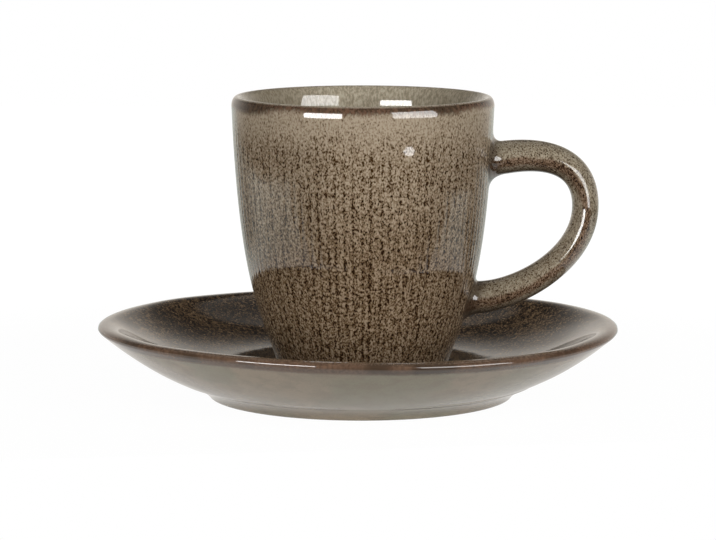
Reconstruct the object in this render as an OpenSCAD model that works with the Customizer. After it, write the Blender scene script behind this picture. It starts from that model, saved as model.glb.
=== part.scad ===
// Stoneware coffee cup standing on its saucer, in millimetres.
// The origin is on the table under the middle of the saucer. +Z is up and the handle points along +X.
// The cup is loose on the saucer and stands a little off its middle, towards the handle.

/* [Saucer] */
// Radius of the dish out to the edge of its lip
saucer_r = 64.7; // [60:0.1:75]
// Height of the lip's crest above the table
saucer_h = 18; // [16:0.5:22]
// Width of the lip's rounding, from its crest out to its edge
saucer_lip_w = 2.2; // [1.8:0.1:2.6]
// Height of the lip's rounding, from its edge up to its crest
saucer_lip_h = 1.3; // [1:0.1:1.6]
// Height of the well, where the cup stands, above the table
well_h = 7.5; // [6.5:0.1:8.5]
// Radius of the flat part of the well
well_r = 28; // [25:0.5:32]
// Radius of the foot ring's outer edge on the table
saucer_foot_r = 37.8; // [34:0.1:41]
// Height of the corner where the foot ring meets the dish
saucer_foot_h = 3.1; // [2.6:0.1:3.6]
// How far the foot ring flares out up to that corner
saucer_foot_flare = 4.2; // [3:0.1:5]
// Width of the foot ring's flat land
saucer_land_w = 3.4; // [2.5:0.1:5]
// Depth of the hollow inside the foot ring
saucer_hollow_h = 2.6; // [1.8:0.1:3.2]
// Width of the slope from the foot ring's land up to the floor of that hollow
saucer_hollow_slope = 3; // [2:0.1:5]

/* [Cup] */
// How far the cup stands off the middle of the saucer, towards the handle
cup_aside = 1; // [0:0.1:2.5]
// Radius of the cup at its widest, just under the lip
cup_r = 32.6; // [30:0.1:36]
// Height of the cup from its foot to the lip's crest
cup_h = 67.3; // [62:0.1:78]
// Radius of the cup just above its foot
cup_base_r = 21.5; // [20.5:0.1:24]
// Width of the lip's rounding, from its crest out to its widest
cup_lip_w = 1.4; // [1.2:0.05:1.6]
// Height of the lip's outer rounding, from its widest up to its crest
cup_lip_h = 2.3; // [1.8:0.1:2.8]
// Height of the lip's longer inner rounding
cup_lip_inside_h = 7; // [3.5:0.1:8]
// Thickness of the wall
cup_wall_t = 3.6; // [3.2:0.1:4.2]
// Height of the floor inside the cup above its foot
cup_floor_h = 5; // [4.2:0.1:6.5]
// Radius of the flat part of that floor
cup_floor_r = 9; // [7:0.5:11]
// Rounding of the foot's outer edge
cup_foot_round = 1.3; // [0.8:0.1:1.6]
// Width of the foot's flat land
cup_land_w = 3; // [2:0.1:4]
// Depth of the hollow under the cup
cup_hollow_h = 1.6; // [1:0.1:2.2]
// Width of the slope from the foot's land up to the floor of that hollow
cup_hollow_slope = 1.6; // [1:0.1:3]

/* [Handle] */
// How far the handle stands out from the widest part of the cup
handle_out = 26.1; // [23:0.1:29]
// From the lip's crest down to the middle of the upper root
handle_drop = 15.8; // [14:0.1:19]
// Height of the middle of the lower root above the cup's foot
handle_low_h = 17; // [15:0.1:19]
// Thickness of the handle at its upper root
handle_top_t = 8.5; // [7:0.1:9.5]
// Thickness of the handle where it is furthest out
handle_mid_t = 6.6; // [5.5:0.1:7.5]
// Thickness of the handle at its lower root
handle_low_t = 8.4; // [7:0.1:9]
// Width of the handle at its upper root
handle_top_w = 11.4; // [9:0.1:13]
// Width of the handle where it is furthest out
handle_mid_w = 10.2; // [8:0.1:12]
// Width of the handle at its lower root
handle_low_w = 10.4; // [8:0.1:12]
// Reach of the rounded crease between the upper root and the wall
top_crease = 3.6; // [2.5:0.1:4.5]
// Reach of the rounded crease between the lower root and the wall
low_crease = 2.6; // [2:0.1:3.5]
// How deep the scored roots are keyed into the wall
luting_depth = 0.8; // [0.5:0.1:1.2]

/* [Hidden] */

// Facets of a full turn and of each rounded edge, and the steps of each long curve
$fn = 180;
edge_steps = 8;
curve_steps = 22;
// Steps along each half of the handle, round its section and through each crease
handle_steps = 22;
section_steps = 28;
crease_steps = 6;

// Angle at which the saucer's underside runs into the rounding of the lip
lip_start_angle = -36;
// Control points of the long curves, as shares of the way from one end of the curve to the other
dish_under_share = [0.53, 0.335];
dish_shoulder_share = 0.15;
dish_slope_share = 0.42;
side_upper_shares = [0.84, 0.37];
side_lower_shares = [0.53, 0.25];
// How far down the side the inside starts to round into the floor
inside_corner_share = 0.62;
foot_flare_share = 0.25;
// Where the handle is furthest out, as a share of the height between its roots
handle_mid_share = 0.666;
// Pull of the handle's curve at the wall, outwards and upwards, and at its furthest point
handle_leave_shares = [0.88, 0.36];
handle_over_share = 0.5;
handle_under_share = 0.65;
handle_return_shares = [0.3, 0.04];

cup_foot_edge_r = cup_base_r - cup_foot_round;
handle_top_h = cup_h - handle_drop;
handle_mid_h = handle_low_h + handle_mid_share * (handle_top_h - handle_low_h);
handle_mid_x = cup_r + handle_out - handle_mid_t / 2;

function blend(a, b, share) = a + (b - a) * share;

// Points of a curve with one control point
function bend(a, b, c, steps) = [
    for (i = [0:steps]) let (t = i / steps) blend(blend(a, b, t), blend(b, c, t), t)
];

// One point of a curve with two control points, and the direction of the curve there
function sweep_point(p, t) = blend(
    blend(blend(p[0], p[1], t), blend(p[1], p[2], t), t),
    blend(blend(p[1], p[2], t), blend(p[2], p[3], t), t),
    t
);
function sweep_direction(p, t) = blend(
    blend(p[1] - p[0], p[2] - p[1], t),
    blend(p[2] - p[1], p[3] - p[2], t),
    t
);
function sweep(p, steps) = [for (i = [0:steps]) sweep_point(p, i / steps)];

// A curve's points without its first, where another curve has already ended there
function tail(points) = [for (i = [1:len(points) - 1]) points[i]];

// Points of a rounded edge between two angles
function rounded(centre, w, h, from, to, steps) = [
    for (i = [0:steps]) let (a = blend(from, to, i / steps)) centre + [w * cos(a), h * sin(a)]
];

// Saucer

saucer_lip_centre = [saucer_r - saucer_lip_w, saucer_h - saucer_lip_h];
saucer_lip = rounded(saucer_lip_centre, saucer_lip_w, saucer_lip_h, lip_start_angle, 90, edge_steps);
foot_corner = [saucer_foot_r + saucer_foot_flare, saucer_foot_h];
dish_under_control = [
    blend(foot_corner[0], saucer_lip[0][0], dish_under_share[0]),
    blend(foot_corner[1], saucer_lip[0][1], dish_under_share[1])
];
dish_inside = [
    [saucer_lip_centre[0], saucer_h],
    [blend(saucer_lip_centre[0], well_r, dish_shoulder_share), saucer_h],
    [blend(saucer_lip_centre[0], well_r, dish_slope_share), well_h],
    [well_r, well_h]
];
saucer_land_r = saucer_foot_r - saucer_land_w;

// Half section of the saucer, from the middle of the foot's hollow round to the middle of the well
saucer_outline = concat(
    [[0, saucer_hollow_h]],
    bend(
        [saucer_land_r - saucer_hollow_slope, saucer_hollow_h],
        [saucer_land_r, saucer_hollow_h],
        [saucer_land_r, 0],
        edge_steps
    ),
    bend(
        [saucer_foot_r, 0],
        [saucer_foot_r + foot_flare_share * saucer_foot_flare, saucer_foot_h / 2],
        foot_corner,
        edge_steps
    ),
    tail(bend(foot_corner, dish_under_control, saucer_lip[0], curve_steps)),
    tail(saucer_lip),
    tail(sweep(dish_inside, curve_steps)),
    [[0, well_h]]
);

// The dish with its foot ring, pressed in one piece
module saucer() {
    color([0.45, 0.42, 0.38])
        rotate_extrude()
            polygon(saucer_outline);
}

// Cup, with heights counted from its foot

cup_side = [
    [cup_r, cup_h - cup_lip_h],
    [blend(cup_base_r, cup_r, side_upper_shares[0]), cup_h * side_upper_shares[1]],
    [blend(cup_base_r, cup_r, side_lower_shares[0]), cup_h * side_lower_shares[1]],
    [cup_base_r, cup_foot_round]
];
cup_side_points = sweep(cup_side, curve_steps);
cup_land_r = cup_foot_edge_r - cup_land_w;
lip_crest_r = cup_r - cup_lip_w;

// The inside lies one wall's thickness in from the side, square to it, down to the floor's rounded corner
function side_heading(t) = let (d = sweep_direction(cup_side, t)) d / norm(d);
function inside_point(t) = let (d = side_heading(t)) sweep_point(cup_side, t) + cup_wall_t * [d[1], -d[0]];
side_shares = [for (i = [curve_steps:-1:0]) [cup_side_points[i][1], i / curve_steps]];
inside_start_share = lookup(cup_h - cup_lip_inside_h, side_shares);
lip_inside_end = inside_point(inside_start_share);
lip_inside = rounded(
    [lip_crest_r, lip_inside_end[1]],
    lip_crest_r - lip_inside_end[0],
    cup_h - lip_inside_end[1],
    90,
    180,
    edge_steps
);
corner_top = inside_point(inside_corner_share);
corner_heading = side_heading(inside_corner_share);
corner_control = [
    corner_top[0] - corner_heading[0] / corner_heading[1] * (corner_top[1] - cup_floor_h),
    cup_floor_h
];

// Half section of the cup, from the middle of the hollow under it round to the middle of its floor
cup_outline = concat(
    [[0, cup_hollow_h]],
    bend(
        [cup_land_r - cup_hollow_slope, cup_hollow_h],
        [cup_land_r, cup_hollow_h],
        [cup_land_r, 0],
        edge_steps
    ),
    rounded([cup_foot_edge_r, cup_foot_round], cup_foot_round, cup_foot_round, -90, 0, edge_steps),
    [for (i = [curve_steps - 1:-1:1]) cup_side_points[i]],
    rounded([lip_crest_r, cup_h - cup_lip_h], cup_lip_w, cup_lip_h, 0, 90, edge_steps),
    tail(lip_inside),
    [
        for (i = [1:curve_steps - 1])
            inside_point(blend(inside_start_share, inside_corner_share, i / curve_steps))
    ],
    bend(corner_top, corner_control, [cup_floor_r, cup_floor_h], curve_steps),
    [[0, cup_floor_h]]
);

// The bowl of the cup with its foot, jiggered in one piece
module cup_body() {
    color([0.46, 0.41, 0.34])
        translate([cup_aside, 0, well_h])
            rotate_extrude()
                polygon(cup_outline);
}

// Handle, a pulled loop luted to the wall at two roots

// Radius of the cup's outside at a height above its foot
side_radii = [for (p = cup_side_points) [p[1], p[0]]];
function wall_r(z) = lookup(z, side_radii);
// Point of the wall's outside, or of a surface at some depth in it, at a place across and up the wall
function on_wall(y, z, depth) = [sqrt(pow(wall_r(z) - depth, 2) - y * y), y, z];

handle_upper = [
    [wall_r(handle_top_h), handle_top_h],
    [
        blend(wall_r(handle_top_h), handle_mid_x, handle_leave_shares[0]),
        blend(handle_top_h, handle_mid_h, -handle_leave_shares[1])
    ],
    [handle_mid_x, blend(handle_mid_h, handle_top_h, handle_over_share)],
    [handle_mid_x, handle_mid_h]
];
handle_lower = [
    [handle_mid_x, handle_mid_h],
    [handle_mid_x, blend(handle_mid_h, handle_low_h, handle_under_share)],
    [
        blend(wall_r(handle_low_h), handle_mid_x, handle_return_shares[0]),
        blend(handle_low_h, handle_mid_h, -handle_return_shares[1])
    ],
    [wall_r(handle_low_h), handle_low_h]
];

// The loop runs from t = 0 at the upper root, through t = 1 furthest out, to t = 2 at the lower root
function loop_point(t) = t < 1 ? sweep_point(handle_upper, t) : sweep_point(handle_lower, t - 1);
function loop_direction(t) =
    let (d = t < 1 ? sweep_direction(handle_upper, t) : sweep_direction(handle_lower, t - 1)) d / norm(d);
function loop_size(t, top, mid, low) =
    t < 1 ? blend(mid, top, pow(1 - t, 2)) : blend(mid, low, pow(t - 1, 2));

// Point on the loop's skin at an angle round its section, where 0 faces outwards
function skin_point(t, angle) =
    let (
        p = loop_point(t),
        d = loop_direction(t),
        half_t = loop_size(t, handle_top_t, handle_mid_t, handle_low_t) / 2 * cos(angle),
        half_w = loop_size(t, handle_top_w, handle_mid_w, handle_low_w) / 2 * sin(angle)
    )
    [p[0] - d[1] * half_t, half_w, p[1] + d[0] * half_t];

// Where the skin leaves the rounded crease at each root
function clear_of_wall(t, reach) = loop_point(t)[0] - wall_r(loop_point(t)[1]) - reach;
function find_clear(near, far, reach, tries) =
    let (middle = (near + far) / 2)
    tries == 0 ? middle :
    clear_of_wall(middle, reach) < 0 ? find_clear(middle, far, reach, tries - 1) :
    find_clear(near, middle, reach, tries - 1);
bisections = 14;
loop_start = find_clear(0, 1, top_crease, bisections);
loop_end = find_clear(2, 1, low_crease, bisections);

// One line of the crease: along the loop's skin to the wall, then away from the loop on the wall
function crease_line(t, angle, reach) =
    let (
        skin = skin_point(t, angle),
        d = loop_direction(t),
        meet_z = skin[2] - reach * d[1] / d[0],
        side = t < 1 ? 1 : -1,
        spread = on_wall(skin[1] + reach * sin(angle), meet_z + side * reach * cos(angle), 0)
    )
    bend(skin, on_wall(skin[1], meet_z, 0), spread, crease_steps);

section_angles = [for (i = [0:section_steps - 1]) 360 * i / section_steps];
upper_crease = [for (a = section_angles) crease_line(loop_start, a, top_crease)];
lower_crease = [for (a = section_angles) crease_line(loop_end, a, low_crease)];

function keyed(crease) = [
    for (line = crease) let (edge = line[crease_steps]) on_wall(edge[1], edge[2], luting_depth)
];
function crease_ring(crease, i) = [for (line = crease) line[i]];

handle_rings = concat(
    [keyed(upper_crease)],
    [for (i = [crease_steps:-1:1]) crease_ring(upper_crease, i)],
    [
        for (i = [0:2 * handle_steps])
            let (t = blend(loop_start, loop_end, i / (2 * handle_steps)))
                [for (a = section_angles) skin_point(t, a)]
    ],
    [for (i = [1:crease_steps]) crease_ring(lower_crease, i)],
    [keyed(lower_crease)]
);
handle_ends = [
    on_wall(0, handle_top_h, luting_depth),
    on_wall(0, handle_low_h, luting_depth)
];
handle_points = concat([for (ring = handle_rings) each ring], handle_ends);
ring_count = len(handle_rings);
end_index = ring_count * section_steps;

function ring_index(ring, i) = ring * section_steps + i % section_steps;
handle_faces = concat(
    [for (i = [0:section_steps - 1]) [end_index, ring_index(0, i + 1), ring_index(0, i)]],
    [
        for (r = [0:ring_count - 2], i = [0:section_steps - 1])
            [ring_index(r, i), ring_index(r + 1, i + 1), ring_index(r + 1, i)]
    ],
    [
        for (r = [0:ring_count - 2], i = [0:section_steps - 1])
            [ring_index(r, i), ring_index(r, i + 1), ring_index(r + 1, i + 1)]
    ],
    [
        for (i = [0:section_steps - 1])
            [end_index + 1, ring_index(ring_count - 1, i), ring_index(ring_count - 1, i + 1)]
    ]
);

module cup_handle() {
    color([0.44, 0.39, 0.32])
        translate([cup_aside, 0, well_h])
            polyhedron(points = handle_points, faces = handle_faces);
}

saucer();
cup_body();
cup_handle();
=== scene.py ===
# A small glazed stoneware cup standing loose on its own saucer. The sizes of its pieces are in millimetres
# until a mesh is made, and those of the room in metres. The saucer's axis is Z, and the handle points along
# +X from the cup.
import math
import bpy
import numpy as np
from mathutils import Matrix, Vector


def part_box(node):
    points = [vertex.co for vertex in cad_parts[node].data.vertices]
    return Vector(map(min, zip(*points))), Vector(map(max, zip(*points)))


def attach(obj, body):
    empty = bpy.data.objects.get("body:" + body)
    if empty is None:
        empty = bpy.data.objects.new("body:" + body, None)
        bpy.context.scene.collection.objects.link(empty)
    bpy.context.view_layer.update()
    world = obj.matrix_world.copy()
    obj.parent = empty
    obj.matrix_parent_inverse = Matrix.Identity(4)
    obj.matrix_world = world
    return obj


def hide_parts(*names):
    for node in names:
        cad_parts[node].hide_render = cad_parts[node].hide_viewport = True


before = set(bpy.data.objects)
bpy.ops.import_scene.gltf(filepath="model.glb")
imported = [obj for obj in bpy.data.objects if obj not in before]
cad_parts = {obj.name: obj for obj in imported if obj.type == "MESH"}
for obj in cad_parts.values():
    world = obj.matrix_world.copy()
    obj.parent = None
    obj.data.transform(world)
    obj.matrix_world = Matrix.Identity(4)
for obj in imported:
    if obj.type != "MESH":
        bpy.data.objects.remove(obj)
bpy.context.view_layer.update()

# Saucer: a shallow stoneware dish with a low foot ring, pressed in one piece and glazed all over. Its rim
# went a little out of true in the kiln, which shows as a slow wave.
MM = 0.001
saucer_high = np.array(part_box("saucer")[1]) / MM
saucer_r = saucer_high[0]
saucer_h = saucer_high[2]
saucer_lip_w = 2.4
saucer_lip_h = 1.1
saucer_lip_start = math.radians(-36)
well_h = 7.5
well_r = 28
foot_r = 37.8
foot_h = 3.1
foot_flare = 4.2
foot_land_w = 3.4
foot_hollow_h = 2.6
foot_hollow_slope = 3
# How far the foot stands off the rim's middle, and how far above the foot that shift ends
foot_aside = 0.5
foot_aside_above = 1
# Control points of the long curves, as shares of the way from one end of the curve to the other
foot_flare_share = 0.25
dish_under_shares = (0.53, 0.335)
dish_shoulder_share = 0.15
dish_slope_share = 0.37
# Rise of the rim round the dish: height of the cosine and sine of one, two and three times the angle
rim_waves = ((-0.26, -0.54), (0.26, 0.15), (0.21, 0.06))
# How far the rim stands in or out, for two to five swings round the dish, and where each swing starts
rim_swings = ((2, 0.10, 0.4), (3, 0.12, 2.1), (4, 0.08, 5.0), (5, 0.07, 3.3))
# Shallow dents in the glaze: for each its height, how many go round, how it leans and where it starts. They
# fade out over this width towards the rim
saucer_dents = ((0.05, 7, 4, 0), (0.04, 11, -3, 2), (0.03, 17, 2, 4))
dent_free_w = 3
saucer_cap_r = 1.5
saucer_sides = 400
saucer_ring_gap = 0.55
foot_steps = 16
lip_steps = 24
under_steps = 60
dish_steps = 80


def blend(a, b, share):
    return a + (b - a) * share


def grow(distance, start, full):
    """0 before start and 1 past full, with an even rise between."""
    return np.clip((distance - start) / (full - start), 0, 1)


def bezier(points, steps):
    """Points of a curve with one or two control points."""
    rows = [np.array(p, float) for p in points]
    t = np.linspace(0, 1, steps + 1)[:, None]
    while len(rows) > 1:
        rows = [blend(a, b, t) for a, b in zip(rows, rows[1:])]
    return rows[0]


def rounded(centre, w, h, start, end, steps):
    """Points of a rounded edge between two angles."""
    a = np.linspace(start, end, steps + 1)
    return np.stack([centre[0] + w * np.cos(a), centre[1] + h * np.sin(a)], 1)


def so_far(points):
    """Length of an outline up to each of its points."""
    return np.concatenate([[0], np.cumsum(np.hypot(*np.diff(points, axis=0).T))])


def at_lengths(points, at):
    """Points of an outline at these lengths along it."""
    length = so_far(points)
    return np.stack([np.interp(at, length, points[:, k]) for k in (0, 1)], 1)


def even(points, gap):
    """The same outline without double points, and with its points at most a gap apart."""
    apart = np.hypot(*np.diff(points, axis=0).T)
    points = points[np.concatenate([[True], apart > gap / 1000])]
    whole = so_far(points)[-1]
    return at_lengths(points, np.linspace(0, whole, int(np.ceil(whole / gap)) + 1))


def turn(outline, sides):
    """Rings of an outline turned about Z: radius, angle and height of every vertex."""
    angles = np.linspace(0, 2 * np.pi, sides, endpoint=False)
    return np.repeat(outline[:, 0], sides), np.tile(angles, len(outline)), np.repeat(outline[:, 1], sides)


def ring_faces(rings, sides):
    """Faces between rings of vertices, with a cap on the first ring and on the last."""
    i = np.arange(sides)
    j = (i + 1) % sides
    bands = [np.stack([k * sides + i, k * sides + j, (k + 1) * sides + j, (k + 1) * sides + i], 1)
             for k in range(rings - 1)]
    last = (rings - 1) * sides
    return np.concatenate(bands).tolist() + [list(range(sides))[::-1], list(range(last, last + sides))]


def low_waves(table, a, along):
    """Sum of low waves that lean: for each its height, how many go round, its lean and its start."""
    return sum(size * np.sin(n * a + along / lean + start) for size, n, lean, start in table)


def make_piece(name, vertices, faces, facts):
    """A smooth closed mesh, with one number for each vertex under each name in facts."""
    mesh = bpy.data.meshes.new(name)
    mesh.from_pydata((np.asarray(vertices) * MM).tolist(), [], faces)
    mesh.validate()
    mesh.shade_smooth()
    for fact, values in facts.items():
        layer = mesh.attributes.new(fact, "FLOAT", "POINT")
        layer.data.foreach_set("value", np.asarray(values, np.float32))
    piece = bpy.data.objects.new(name, mesh)
    bpy.context.scene.collection.objects.link(piece)
    return piece


def saucer_outline():
    """Half section from the middle of the foot's hollow, out round the lip, to the middle of the well."""
    lip_centre = (saucer_r - saucer_lip_w, saucer_h - saucer_lip_h)
    lip = rounded(lip_centre, saucer_lip_w, saucer_lip_h, saucer_lip_start, math.pi / 2, lip_steps)
    land_r = foot_r - foot_land_w
    hollow = [(land_r - foot_hollow_slope, foot_hollow_h), (land_r, foot_hollow_h), (land_r, 0)]
    corner = (foot_r + foot_flare, foot_h)
    flare = [(foot_r, 0), (foot_r + foot_flare * foot_flare_share, foot_h / 2), corner]
    under = (
        blend(corner[0], lip[0][0], dish_under_shares[0]),
        blend(corner[1], lip[0][1], dish_under_shares[1]),
    )
    inside = [
        (lip_centre[0], saucer_h),
        (blend(lip_centre[0], well_r, dish_shoulder_share), saucer_h),
        (blend(lip_centre[0], well_r, dish_slope_share), well_h),
        (well_r, well_h),
    ]
    return np.concatenate([
        [(saucer_cap_r, foot_hollow_h)],
        bezier(hollow, foot_steps),
        bezier(flare, foot_steps),
        bezier([corner, under, lip[0]], under_steps),
        lip,
        bezier(inside, dish_steps),
        [(saucer_cap_r, well_h)],
    ])


outline = even(saucer_outline(), saucer_ring_gap)
lengths = so_far(outline)
crest = np.argmax(outline[:, 1])
from_crest = np.repeat(lengths[crest] - lengths, saucer_sides)
r, a, z = turn(outline, saucer_sides)
reach = grow(r, foot_r, saucer_r)
rise = sum(c * np.cos(n * a) + s * np.sin(n * a) for n, (c, s) in enumerate(rim_waves, 1))
sway = sum(size * np.cos(n * a + start) for n, size, start in rim_swings)
z = z + rise * reach ** 1.5
r = r + sway * reach ** 2
z = z + low_waves(saucer_dents, a, r) * reach * grow(abs(r - saucer_r), 0, dent_free_w)
aside = foot_aside * (1 - reach) * (z < foot_h + foot_aside_above)
vertices = np.stack([r * np.cos(a) + aside, r * np.sin(a), z], 1)
faces = ring_faces(len(outline), saucer_sides)
saucer = make_piece("saucer_dish", vertices, faces, {"from_crest": from_crest})
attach(saucer, "saucer")
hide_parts("saucer")


class Wire:
    """A value, a vector or a colour on its way through a material's nodes."""

    def __init__(self, tree, socket=None):
        self.tree = tree
        self.socket = socket

    def node(self, kind, settings=None, out=0, **inputs):
        """Adds a node with its settings, then the values or wires of its inputs, by name or by number."""
        made = self.tree.nodes.new(kind)
        for name, value in (settings or {}).items():
            setattr(made, name, value)
        for name, value in inputs.items():
            socket = made.inputs[int(name[1:]) if name[1:].isdigit() else name.replace("_", " ")]
            if isinstance(value, Wire):
                value.into(socket)
            else:
                socket.default_value = value
        return Wire(self.tree, made.outputs[out])

    def into(self, socket):
        self.tree.links.new(self.socket, socket)

    def output(self, name):
        """Another output of the node that this wire comes from."""
        return Wire(self.tree, self.socket.node.outputs[name])

    def fact(self, name):
        """The number that the piece's vertices have under this name."""
        return self.node("ShaderNodeAttribute", {"attribute_name": name}, out="Fac")

    def math(self, operation, *others):
        values = {f"i{k}": v for k, v in enumerate((self, *others))}
        return self.node("ShaderNodeMath", {"operation": operation}, **values)

    def __add__(self, other):
        return self.math("ADD", other)

    __radd__ = __add__

    def __mul__(self, other):
        return self.math("MULTIPLY", other)

    __rmul__ = __mul__

    def __sub__(self, other):
        return self.math("SUBTRACT", other)

    def __rsub__(self, other):
        return self.node("ShaderNodeMath", {"operation": "SUBTRACT"}, i0=other, i1=self)

    def step(self, low, high):
        """0 at low and 1 at high, with a soft change between. Low may be the larger number."""
        return self.node("ShaderNodeMapRange", {"interpolation_type": "SMOOTHSTEP"},
                         Value=self, From_Min=low, From_Max=high)

    def paint(self, under, over):
        """The colour under where this mask is 0, and the colour over where it is 1."""
        return self.node("ShaderNodeMix", {"data_type": "RGBA"}, out=2, Factor=self, i6=under, i7=over)

    def stretch(self, x, y, z):
        return self.node("ShaderNodeVectorMath", {"operation": "MULTIPLY"}, i0=self, i1=(x, y, z))

    def noise(self, size, detail=2, roughness=0.5):
        """Noise whose patches are about size millimetres across, where this is a place in millimetres."""
        return self.node("ShaderNodeTexNoise",
                         Vector=self, Scale=1 / size, Detail=detail, Roughness=roughness)


glaze_ior = 1.52
# Broken glaze is a fine net and larger blobs, both drawn out a little down the side. With its thickness it
# turns from pale islands to brown between the first two levels, and to dark beads between the last two
net_stretch, blob_stretch = 0.65, 0.6
net_roughness = 0.53
pale_until, brown_from = 0.374, 0.559
brown_until, dark_from = 0.56, 0.644


def glaze_tint(red, green, blue):
    """A colour as it is seen, with channels from 0 to 255, turned to linear light."""
    levels = [v / 255 for v in (red, green, blue)]
    return (*(v / 12.92 if v < 0.04045 else ((v + 0.055) / 1.055) ** 2.4 for v in levels), 1)


def new_glaze(name, roughness):
    """A glossy ceramic material: its shader, and wires for the place in millimetres and from the crest."""
    material = bpy.data.materials.new(name)
    material.use_nodes = True
    shader = material.node_tree.nodes["Principled BSDF"]
    shader.inputs["Roughness"].default_value = roughness
    shader.inputs["IOR"].default_value = glaze_ior
    start = Wire(material.node_tree)
    place = start.node("ShaderNodeTexCoord", out="Object").stretch(1 / MM, 1 / MM, 1 / MM)
    return material, shader.inputs, place, start.fact("from_crest")


def broken_glaze(place, run, tints, net_size, net_share, blob_size):
    """Glaze that has broken into pale islands, brown gaps and dark beads, where run makes it gather.

    Gives the colour and the thickness of the glaze. The tints are sets of pale, brown and dark: each set
    after the first comes with a mask, and is painted over the sets before it.
    """
    net = place.stretch(1, 1, net_stretch).noise(net_size, 1, net_roughness)
    blob = place.stretch(1, 1, blob_stretch).noise(blob_size, 1)
    thick = net * net_share + blob * (1 - net_share) + run
    (pale, brown, dark), *others = tints
    for mask, *three in others:
        pale, brown, dark = (mask.paint(under, over) for under, over in zip((pale, brown, dark), three))
    colour = thick.step(pale_until, brown_from).paint(pale, brown)
    return thick.step(brown_until, dark_from).paint(colour, dark), thick


def saucer_glaze():
    """Broken glaze in the dish, its darkness painted shade, a plain pale one below it, and a brown edge
    where the glaze thins.
    """
    # The dish's tints are darkened as painted shade, for the shadow of the cup and the low lamps
    dish_shade_tints = (glaze_tint(146, 122, 93), glaze_tint(70, 53, 36), glaze_tint(14, 7, 2))
    edge_w = 5.0
    edge_fade = 1.4
    material, inputs, place, from_crest = new_glaze("saucer glaze", 0.06)
    patch = place.noise(16)
    dish, _ = broken_glaze(place, patch * 0.24 - 0.075, (dish_shade_tints,), 0.47, 0.66, 1.4)
    fine = place.noise(0.35, 3, 0.6)
    cloud = place.stretch(1, 1, 2).noise(5, 3)
    under = patch.step(0.4, 0.6).paint(glaze_tint(146, 132, 112), glaze_tint(132, 126, 106))
    under = (cloud.step(0.42, 0.66) * 0.5).paint(under, glaze_tint(124, 112, 94))
    under = (fine.step(0.45, 0.7) * 0.35).paint(under, glaze_tint(110, 98, 79))
    colour = from_crest.step(0.4, -1.2).paint(under, dish)
    streak = place.stretch(1, 1, 0.2).noise(0.7, 3, 0.6)
    edge = from_crest.step(-0.5, 0.1) * (from_crest + streak).step(edge_w + edge_fade, edge_w)
    brown = streak.step(0.35, 0.65).paint(glaze_tint(96, 72, 57), glaze_tint(76, 54, 41))
    brown = place.noise(11).step(0.48, 0.64).paint(brown, glaze_tint(54, 36, 25))
    # Close to the crest the brown is worn in specks to the pale clay
    worn = fine.step(0.46, 0.6) * (from_crest + streak * 2).step(3.2, 1.4)
    brown = (worn * 0.7).paint(brown, glaze_tint(140, 118, 98))
    (edge * 0.92).paint(colour, brown).into(inputs["Base Color"])
    relief = fine * 0.04 + patch + cloud * 0.35
    relief.node("ShaderNodeBump", Strength=0.12, Distance=0.0004, Height=relief).into(inputs["Normal"])
    return material


saucer.data.materials.append(saucer_glaze())

# Cup: a tapered stoneware bowl with a turned foot, jiggered in one piece. Fine lines were combed down its
# side before glazing, and the dark glaze gathers in them as chains of specks.
cup_low, cup_high = (np.array(corner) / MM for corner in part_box("cup_body"))
cup_x = (cup_low[0] + cup_high[0]) / 2
cup_r = (cup_high[0] - cup_low[0]) / 2
cup_h = cup_high[2] - well_h
cup_base_r = 21.5
cup_lip_w = 1.4
cup_lip_h = 2.3
cup_lip_inside_h = 7
cup_wall_t = 3.6
cup_floor_h = 5
cup_floor_r = 9
cup_foot_round = 1.3
cup_land_w = 3
cup_hollow_h = 1.6
cup_hollow_slope = 1.6
# Control points of the side, as shares of the way out from the base to the rim and of the height
side_lower_shares = (0.53, 0.25)
side_upper_shares = (0.84, 0.37)
floor_corner_share = 0.38
cup_cap_r = 1.0
cup_sides = 712
# Rings stand close together on the outside and the lip, and further apart inside and below: the gap from
# one ring to the next at some places, which are measured along the outline from the crest inwards
ring_places = (-72, -66, -5, -2, 6, 12)
ring_gaps = (2.0, 0.9, 0.9, 0.35, 0.5, 2.4)
# What lies further in than this from the base's radius is the hollow under the foot and not the outside
outside_margin = 0.2
comb_lines = 88
comb_depth = 0.10
comb_width = 0.33
# How far a comb line may stand off its place, as a share of the pitch, and lean, in radians
comb_drift = 0.16
comb_lean = 0.008
comb_strengths = (0.52, 0.82)
comb_from, comb_full = 4, 12
# Slow ripples of the side, as in the table of dents
side_ripples = ((0.05, 3, 19, 0), (0.04, 5, -13, 2))
ripple_from, ripple_full = 2, 10
# A bead of glaze on the front, a little below the rim, stands proud and fills the comb's lines
bead_at = math.radians(290)
bead_drop = 12.4
bead_r = 1.9
bead_out = 0.2
side_steps = 80
edge_steps = 6
lip_out_steps = 12
lip_in_steps = 20
floor_steps = 12


def cup_side(steps):
    """Points up the outside of the cup, from the round edge of its foot to its lip."""
    return bezier([
        (cup_base_r, cup_foot_round),
        (blend(cup_base_r, cup_r, side_lower_shares[0]), cup_h * side_lower_shares[1]),
        (blend(cup_base_r, cup_r, side_upper_shares[0]), cup_h * side_upper_shares[1]),
        (cup_r, cup_h - cup_lip_h),
    ], steps)


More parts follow.
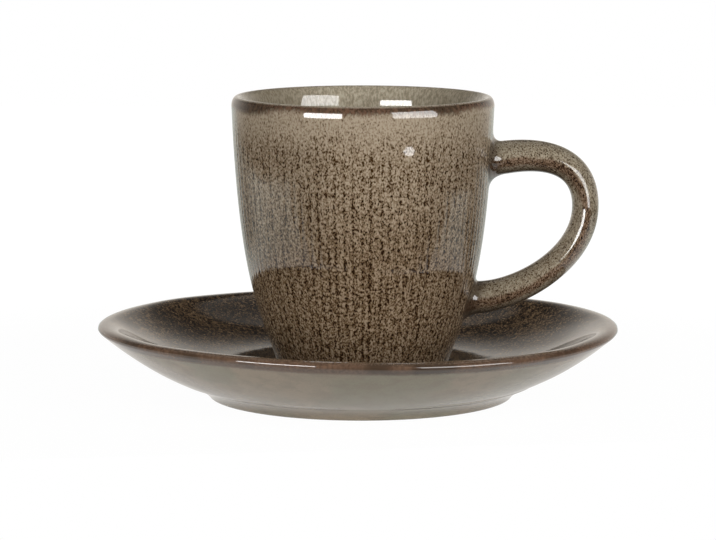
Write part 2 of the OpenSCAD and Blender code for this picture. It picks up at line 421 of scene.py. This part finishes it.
def cup_outline():
    """Half section of the cup from the middle of its hollow, up the side and over the lip to its floor."""
    foot_edge_r = cup_base_r - cup_foot_round
    land_r = foot_edge_r - cup_land_w
    hollow = [(land_r - cup_hollow_slope, cup_hollow_h), (land_r, cup_hollow_h), (land_r, 0)]
    foot_edge = (foot_edge_r, cup_foot_round)
    side = cup_side(side_steps)
    heading = np.gradient(side, axis=0)
    heading /= np.hypot(*heading.T)[:, None]
    inner = side + cup_wall_t * np.stack([-heading[:, 1], heading[:, 0]], 1)
    crest_r = cup_r - cup_lip_w
    lip_end = inner[np.argmin(abs(inner[:, 1] - (cup_h - cup_lip_inside_h)))]
    lip_out = rounded((crest_r, cup_h - cup_lip_h), cup_lip_w, cup_lip_h, 0, math.pi / 2, lip_out_steps)
    lip_in = rounded((crest_r, lip_end[1]), crest_r - lip_end[0], cup_h - lip_end[1],
                     math.pi / 2, math.pi, lip_in_steps)
    corner = int(side_steps * floor_corner_share)
    wall = inner[corner:][inner[corner:, 1] < lip_end[1]][::-1]
    slope = heading[corner]
    floor = (wall[-1][0] - slope[0] / slope[1] * (wall[-1][1] - cup_floor_h), cup_floor_h)
    return np.concatenate([
        [(cup_cap_r, cup_hollow_h)],
        bezier(hollow, edge_steps),
        rounded(foot_edge, cup_foot_round, cup_foot_round, -math.pi / 2, 0, edge_steps),
        side[1:-1],
        lip_out,
        lip_in[1:],
        wall[1:],
        bezier([wall[-1], floor, (cup_floor_r, cup_floor_h)], floor_steps)[1:],
        [(cup_cap_r, cup_floor_h)],
    ])


def comb_grooves(r, a, z):
    """Depth of the comb's lines at every vertex, as a share of the full depth."""
    chance = np.random.default_rng(7)
    pitch = 2 * np.pi / comb_lines
    line_at = (np.arange(comb_lines) + chance.uniform(-comb_drift, comb_drift, comb_lines)) * pitch
    line_strength = chance.uniform(*comb_strengths, comb_lines)
    line_lean = chance.uniform(-comb_lean, comb_lean, comb_lines)
    groove = np.zeros(len(r))
    for centre, strength, lean in zip(line_at, line_strength, line_lean):
        off = (a - centre - lean * (z / cup_h - 0.5) * 2 + np.pi) % (2 * np.pi) - np.pi
        groove = np.maximum(groove, strength * np.exp(-(off * r / comb_width) ** 2))
    return groove


outline = cup_outline()
lengths = so_far(outline)
crest_at = lengths[np.argmax(outline[:, 1])]
gaps = np.interp(lengths, crest_at + np.array(ring_places), ring_gaps)
count = np.concatenate([[0], np.cumsum(np.diff(lengths) / ((gaps[1:] + gaps[:-1]) / 2))])
at = np.interp(np.linspace(0, count[-1], int(count[-1]) + 1), count, lengths)
outline = at_lengths(outline, at)
from_crest = np.repeat(crest_at - at, cup_sides)
r, a, z = turn(outline, cup_sides)
outside = (from_crest > 0) & (z > cup_foot_round) & (r > cup_base_r - outside_margin)
bead = np.exp(-(((a - bead_at) * r) ** 2 + (z - (cup_h - bead_drop)) ** 2) / bead_r ** 2) * outside
groove = comb_grooves(r, a, z) * grow(from_crest, comb_from, comb_full) * outside * (1 - bead)
ripple = low_waves(side_ripples, a, z) * outside * grow(from_crest, ripple_from, ripple_full)
r = r - comb_depth * groove + ripple + bead_out * bead
vertices = np.stack([cup_x + r * np.cos(a), r * np.sin(a), well_h + z], 1)
cup = make_piece("cup_shell", vertices, ring_faces(len(outline), cup_sides),
                 {"from_crest": from_crest, "groove": groove, "outside": outside, "bead": bead})
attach(cup, "cup")
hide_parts("cup_body")


def cup_side_glaze(place, from_crest, sideways):
    """Broken glaze of the outside, with its colour and its thickness.

    It is pale below the rim, then speckled along the comb's lines, and darker towards the foot, with
    painted shade towards its sides.
    """
    rim_tints = (glaze_tint(153, 140, 121), glaze_tint(132, 117, 99), glaze_tint(84, 68, 50))
    flank_tone_and_shade_tints = (glaze_tint(140, 129, 109), glaze_tint(112, 100, 81), glaze_tint(62, 48, 31))
    upper_tints = (glaze_tint(153, 139, 120), glaze_tint(112, 95, 75), glaze_tint(48, 30, 12))
    lower_tints = (glaze_tint(139, 122, 102), glaze_tint(88, 70, 50), glaze_tint(33, 17, 4))
    sag = from_crest + place.noise(7, 3) * 10
    upper = sag.step(8, 20)
    lower = from_crest.step(18, 42)
    # The top zone turns greener towards both sides, the glaze's own tone, and darker there, painted shade
    # where the light falls off
    flank_tone_and_shade = sideways.math("ABSOLUTE").step(14, 31) * 0.2
    chain = place.stretch(0.5, 0.5, 1).noise(1.0).step(0.38, 0.62)
    run = place.fact("groove") * (chain * 0.15 + 0.05) * upper + upper * 0.05 - 0.048
    run = run - place.fact("bead").step(0.75, 0.95) * 0.12
    tints = (rim_tints, (flank_tone_and_shade, *flank_tone_and_shade_tints), (upper, *upper_tints), (lower, *lower_tints))
    colour, thick = broken_glaze(place, run, tints, 0.39, 0.82, 0.85)
    # Painted shade: the glaze is darkened on the left of the front and on the handle's side, where less
    # light falls
    side_shade = sideways.step(-4, -12) * sideways.step(-24, -18) * 0.14 + sideways.step(12, 22) * 0.12
    side_shade = side_shade * from_crest.step(8, 14) * from_crest.step(46, 38)
    return side_shade.paint(colour, glaze_tint(36, 24, 14)), thick


def cup_glaze():
    """Broken glaze outside, a paler one inside with painted shade towards its sides, and a brown edge where
    the glaze ran off the rim.
    """
    material, inputs, place, from_crest = new_glaze("cup glaze", 0.035)
    outside = place.fact("outside")
    sideways = place.node("ShaderNodeSeparateXYZ", i0=place)
    side, thick = cup_side_glaze(place, from_crest, sideways)
    inner = place.stretch(1, 1, 0.4).noise(0.55, 3, 0.6).step(0.35, 0.65)
    inner = inner.paint(glaze_tint(184, 174, 154), glaze_tint(142, 132, 112))
    # Painted shade: the inside is darker towards the left, and less so towards the right
    inner_side_shade = sideways.step(-6, -22) * 0.5 + sideways.step(8, 24) * 0.25
    inner = inner_side_shade.paint(inner, glaze_tint(110, 99, 80))
    streak = place.stretch(1, 1, 0.6).noise(0.9, 3, 0.6)
    patch = place.noise(19, 1)
    edge = from_crest.step(0.5, 0.9) * (from_crest + streak * 2.6 - patch * 4).step(2.9, 1.2)
    brown = streak.step(0.38, 0.58).paint(glaze_tint(90, 64, 49), glaze_tint(46, 29, 17))
    dark_brown = streak.step(0.35, 0.6).paint(glaze_tint(72, 52, 37), glaze_tint(38, 24, 13))
    brown = patch.step(0.45, 0.6).paint(brown, dark_brown)
    (edge * 0.9).paint(outside.paint(inner, side), brown).into(inputs["Base Color"])
    relief = thick * from_crest.step(5, 12) * outside * (1 - place.fact("bead"))
    relief.node("ShaderNodeBump", Strength=0.15, Distance=0.00008, Height=relief).into(inputs["Normal"])
    return material


cup.data.materials.append(cup_glaze())

# Handle: a pulled loop of the same clay, luted to the wall at two roots with slip, and glazed with the cup.
# Its section is a flat oval that narrows to a soft ridge along each side.
handle_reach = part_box("cup_handle")[1][0] / MM - cup_x
handle_drop = 15.8
handle_low_h = 17
handle_top_t, handle_mid_t, handle_low_t = 8.5, 6.6, 8.4
handle_top_w, handle_mid_w, handle_low_w = 11.4, 10.2, 10.4
top_crease = 3.6
low_crease = 2.6
luting_depth = 0.8
ridge_share = 0.22
# The brown stripe crosses the ridge between these places along the loop, from its inner to its outer side
stripe_cross = (0.8, 1.2)
stripe_sides = (-0.3, 0.3)
# Where the handle is furthest out, as a share of the height between its roots, and the control points of
# its curves, as shares of the way from one end of the curve to the other
handle_mid_share = 0.666
handle_leave_shares = (0.88, -0.36)
handle_over_share = 0.5
handle_under_share = 0.65
handle_return_shares = (0.3, -0.04)
handle_top_h = cup_h - handle_drop
handle_mid_h = blend(handle_low_h, handle_top_h, handle_mid_share)
handle_mid_x = handle_reach - handle_mid_t / 2
loop_steps = 400
section_sides = 64
crease_rings = 14
loop_rings = 150
wall_steps = 200
wall_side = cup_side(wall_steps)


def wall_r(height):
    return np.interp(height, wall_side[:, 1], wall_side[:, 0])


def on_wall(y, height, depth):
    return np.stack([np.sqrt((wall_r(height) - depth) ** 2 - y ** 2), y, height + 0 * y], -1)


over = bezier([
    (wall_r(handle_top_h), handle_top_h),
    (blend(wall_r(handle_top_h), handle_mid_x, handle_leave_shares[0]),
     blend(handle_top_h, handle_mid_h, handle_leave_shares[1])),
    (handle_mid_x, blend(handle_mid_h, handle_top_h, handle_over_share)),
    (handle_mid_x, handle_mid_h),
], loop_steps)
under = bezier([
    (handle_mid_x, handle_mid_h),
    (handle_mid_x, blend(handle_mid_h, handle_low_h, handle_under_share)),
    (blend(wall_r(handle_low_h), handle_mid_x, handle_return_shares[0]),
     blend(handle_low_h, handle_mid_h, handle_return_shares[1])),
    (wall_r(handle_low_h), handle_low_h),
], loop_steps)
loop = np.concatenate([over, under[1:]])
loop_way = np.gradient(loop, axis=0)
loop_way /= np.hypot(*loop_way.T)[:, None]
# Places along the loop run from 0 at the top root, by 1 where it is furthest out, to 2 at the low root
loop_t = np.linspace(0, 2, len(loop))
section = np.linspace(0, 2 * np.pi, section_sides, endpoint=False)


def skin_ring(t):
    """Ring of the loop's skin at a place t along it, and the loop's heading there."""
    x, height = (np.interp(t, loop_t, loop[:, k]) for k in (0, 1))
    way = [np.interp(t, loop_t, loop_way[:, k]) for k in (0, 1)]
    end_t, end_w = (handle_top_t, handle_top_w) if t < 1 else (handle_low_t, handle_low_w)
    half_t = blend(handle_mid_t, end_t, (1 - t) ** 2) / 2
    half_w = blend(handle_mid_w, end_w, (1 - t) ** 2) / 2
    thick = half_t * np.cos(section) * (1 - ridge_share * np.sin(section) ** 2)
    return np.stack([x - way[1] * thick, half_w * np.sin(section), height + way[0] * thick], 1), way


def crease(t, reach):
    """Rings of the rounded crease, from the loop's skin to the wall and a little way out on it."""
    skin, way = skin_ring(t)
    meet_h = skin[:, 2] - reach * way[1] / way[0]
    side = 1 if t < 1 else -1
    middle = on_wall(skin[:, 1], meet_h, 0)
    spread = on_wall(skin[:, 1] + reach * np.sin(section), meet_h + side * reach * np.cos(section), 0)
    keyed = on_wall(spread[:, 1], spread[:, 2], luting_depth)
    shares = np.linspace(0, 1, crease_rings + 1)[1:, None, None]
    rings = blend(blend(skin, middle, shares), blend(middle, spread, shares), shares)
    return list(rings) + [keyed]


clear = loop[:, 0] - wall_r(loop[:, 1])
loop_start = loop_t[np.argmax(clear > top_crease)]
loop_end = loop_t[len(loop) - 1 - np.argmax(clear[::-1] > low_crease)]
top_rings = crease(loop_start, top_crease)[::-1]
low_rings = crease(loop_end, low_crease)
ring_t = np.linspace(loop_start, loop_end, loop_rings)
rings = top_rings + [skin_ring(t)[0] for t in ring_t] + low_rings
vertices = np.concatenate(rings) + [cup_x, 0, well_h]
# The rings run down the loop, so their faces are turned over
faces = [face[::-1] for face in ring_faces(len(rings), section_sides)]
near_wall = np.hypot(vertices[:, 0] - cup_x, vertices[:, 1]) - wall_r(vertices[:, 2] - well_h)
ring_t = np.concatenate([[loop_start] * len(top_rings), ring_t, [loop_end] * len(low_rings)])
stripe_off = np.interp(ring_t, stripe_cross, stripe_sides)
ring_tilt = np.interp(ring_t, loop_t, loop_way[:, 0])
handle_facts = {
    "from_crest": cup_h + well_h - vertices[:, 2],
    "near_wall": near_wall,
    "across": (np.cos(section) - stripe_off[:, None]).ravel(),
    "hang": (-np.cos(section) * ring_tilt[:, None]).ravel(),
}
handle = make_piece("handle_loop", vertices, faces, handle_facts)
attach(handle, "cup")
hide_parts("cup_handle")


def handle_glaze():
    """The cup's broken glaze, with a brown stripe along the loop, painted shade where it meets the wall and
    on its underside, and darker lower down.
    """
    edge_tints = (glaze_tint(154, 145, 127), glaze_tint(122, 110, 92), glaze_tint(56, 42, 28))
    stripe_tints = (glaze_tint(136, 116, 98), glaze_tint(96, 76, 59), glaze_tint(40, 26, 16))
    material, inputs, place, from_crest = new_glaze("handle glaze", 0.035)
    wander = place.fact("across") + place.noise(4) * 0.5 - 0.25
    stripe = wander.step(-0.55, -0.15) * wander.step(0.5, 0.15)
    run = place.noise(6) * 0.16 - 0.07 + stripe * 0.04
    colour, _ = broken_glaze(place, run, (edge_tints, (stripe, *stripe_tints)), 0.34, 0.79, 0.96)
    # Painted shade: near-black brown in the crease where the loop meets the wall, and on the loop's
    # underside, which faces down
    crease_shade = (place.fact("near_wall") + wander * 0.6).step(3.6, 0.6)
    colour = (crease_shade * 0.72).paint(colour, glaze_tint(44, 31, 21))
    colour = (place.fact("hang").step(0.55, 0.95) * 0.75).paint(colour, glaze_tint(38, 28, 19))
    colour = (from_crest.step(6, 66) * 0.22).paint(colour, glaze_tint(60, 44, 30))
    colour.into(inputs["Base Color"])
    return material


handle.data.materials.append(handle_glaze())

# Table and room: a white table that ends a little in front of the saucer, a white wall behind it, and two
# soft boxes that stand on the floor in front, one to each side. Their sizes are in metres.
table_corners = [(-0.262, -0.116, 0), (0.245, -0.035, 0), (0.42, 0.8, 0), (-0.43, 0.8, 0)]


def table_white():
    """White to the camera and plain matt for other light.

    The glaze sees it glow, with painted shadow: greyer near the saucer, in a wedge behind the cup on each
    side, and further back.
    """
    material = bpy.data.materials.new("table white")
    material.use_nodes = True
    start = Wire(material.node_tree)
    path = start.node("ShaderNodeLightPath")
    camera = path.output("Is Camera Ray")
    glossy = path.output("Is Glossy Ray")
    spot = start.node("ShaderNodeTexCoord", out="Object")
    from_axis = spot.node("ShaderNodeVectorMath", {"operation": "LENGTH"}, out="Value", i0=spot)
    apart = spot.node("ShaderNodeSeparateXYZ", i0=spot)
    slant = apart.output("Y").math("DIVIDE", apart.math("ABSOLUTE"))
    # Painted shadow of the cup: a dark wedge lies obliquely behind it on each side, a little nearer to the
    # front on the right
    wider = slant + apart.step(-0.05, 0.05) * 0.25
    wedge = wider.step(0.42, 0.56) * wider.step(1.6, 0.95) * from_axis.step(0.13, 0.2)
    behind = slant.step(0.9, 1.2)
    # Painted shadow in the glow: near and under the saucer, in the wedges, and further back
    painted_shadow = from_axis.step(0.11, 0.05) * 0.27 + wedge * 0.75 + behind * 0.35
    seen = from_axis.step(0.1, 0.3) * 0.04 + 1.035
    tone = from_axis.step(0.1, 0.16).paint((1.02, 0.99, 0.95, 1), (0.97, 1.03, 0.97, 1))
    tone = glossy.paint((1, 1, 1, 1), tone)
    matt = start.node("ShaderNodeBsdfDiffuse", Color=(0.6, 0.6, 0.6, 1))
    glow = start.node("ShaderNodeEmission", Color=tone, Strength=camera * seen + glossy * (1.05 - painted_shadow))
    mixed = start.node("ShaderNodeMixShader", i0=(camera + glossy) * 0.94, i1=matt, i2=glow)
    mixed.into(material.node_tree.nodes["Material Output"].inputs["Surface"])
    return material


table_mesh = bpy.data.meshes.new("table")
table_mesh.from_pydata(table_corners, [], [(0, 1, 2, 3)])
table_mesh.materials.append(table_white())
table = bpy.data.objects.new("table", table_mesh)
bpy.context.scene.collection.objects.link(table)

# The wall behind the table is seen in the glaze: pale near the table's level, dimmer higher up, and paler
# again where it turns into the ceiling
room_light = 0.09
wall_glow = 0.84
world = bpy.data.worlds.new("room")
bpy.context.scene.world = world
world.use_nodes = True
start = Wire(world.node_tree)
path = start.node("ShaderNodeLightPath")
glossy_ray = path.output("Is Glossy Ray")
way = start.node("ShaderNodeTexCoord", out="Generated")
apart = way.node("ShaderNodeSeparateXYZ", i0=way)
rise = apart.output("Z")
level = rise.step(-0.16, -0.09) * (rise.step(0.6, 0.12) * 0.95 + 0.05) + rise.step(0.65, 0.72) * 0.6
glow = level * (apart.output("Y").step(0.3, 0.9) * 0.9 + 0.1) * wall_glow
strength = glossy_ray * glow + (1 - glossy_ray * 0.7) * room_light
lit = start.node("ShaderNodeBackground", Color=(1, 0.94, 0.86, 1), Strength=strength)
seen = start.node("ShaderNodeBackground", Color=(1, 1, 1, 1), Strength=1.0)
mixed = start.node("ShaderNodeMixShader", i0=path.output("Is Camera Ray"), i1=lit, i2=seen)
mixed.into(world.node_tree.nodes["World Output"].inputs["Surface"])

# Each soft box is two lamps: one lights the pieces and isn't mirrored, and one close in front of it is seen
# only in the glaze. Each has its azimuth, where 0 is in front of the cup and +90 to the right, its width,
# and the heights of its lower and upper edge.
right_box = ("right_soft_box", 45.6, 0.514, -0.03, 0.46)
left_box = ("left_soft_box", -34.5, 0.42, -0.03, 0.27)
box_distance = 0.7
glare_distance = 0.69
# Lamps that light the front from above and the back from both sides, and aren't mirrored
fills = (
    (("front_fill", 0, 0.5, 0.4, 0.9), 3.0),
    (("back_left_fill", -148, 0.5, -0.03, 0.22), 11),
    (("back_right_fill", 148, 0.5, -0.03, 0.22), 11),
)
fill_distance = 0.8


def soft_box(name, azimuth, width, low, high, distance, brightness):
    """A lamp of even brightness, upright and facing the cup."""
    lamp = bpy.data.lights.new(name, "AREA")
    lamp.shape = "RECTANGLE"
    lamp.size = width
    lamp.size_y = high - low
    lamp.energy = brightness * width * (high - low) * math.pi
    box = bpy.data.objects.new(name, lamp)
    angle = math.radians(azimuth)
    box.location = (distance * math.sin(angle), -distance * math.cos(angle), (low + high) / 2)
    box.rotation_euler = (math.pi / 2, 0, angle)
    bpy.context.scene.collection.objects.link(box)
    return box


for (name, *shape), light, glare in ((right_box, 5.5, 9), (left_box, 8.2, 20)):
    soft_box(name, *shape, box_distance, light).visible_glossy = False
    soft_box(name + "_glare", *shape, glare_distance, glare).visible_diffuse = False
for shape, light in fills:
    soft_box(*shape, fill_distance, light).visible_glossy = False

# Camera: a long lens a little above the cup, looking along +Y and down, with a trace of roll.
look_down = 0.13846
camera_roll = 0.0018
camera = bpy.data.cameras.new("camera")
camera.lens = 167.56
camera.sensor_width = 36
camera.clip_start = 0.05
camera.clip_end = 20
viewer = bpy.data.objects.new("camera", camera)
viewer.location = (-0.000148, -0.82355, 0.14598)
viewer.rotation_mode = "XYZ"
viewer.rotation_euler = (math.pi / 2 - look_down, 0, 0)
viewer.rotation_euler.rotate_axis("Z", camera_roll)
bpy.context.scene.collection.objects.link(viewer)
bpy.context.scene.camera = viewer
bpy.context.scene.view_settings.view_transform = "Standard"
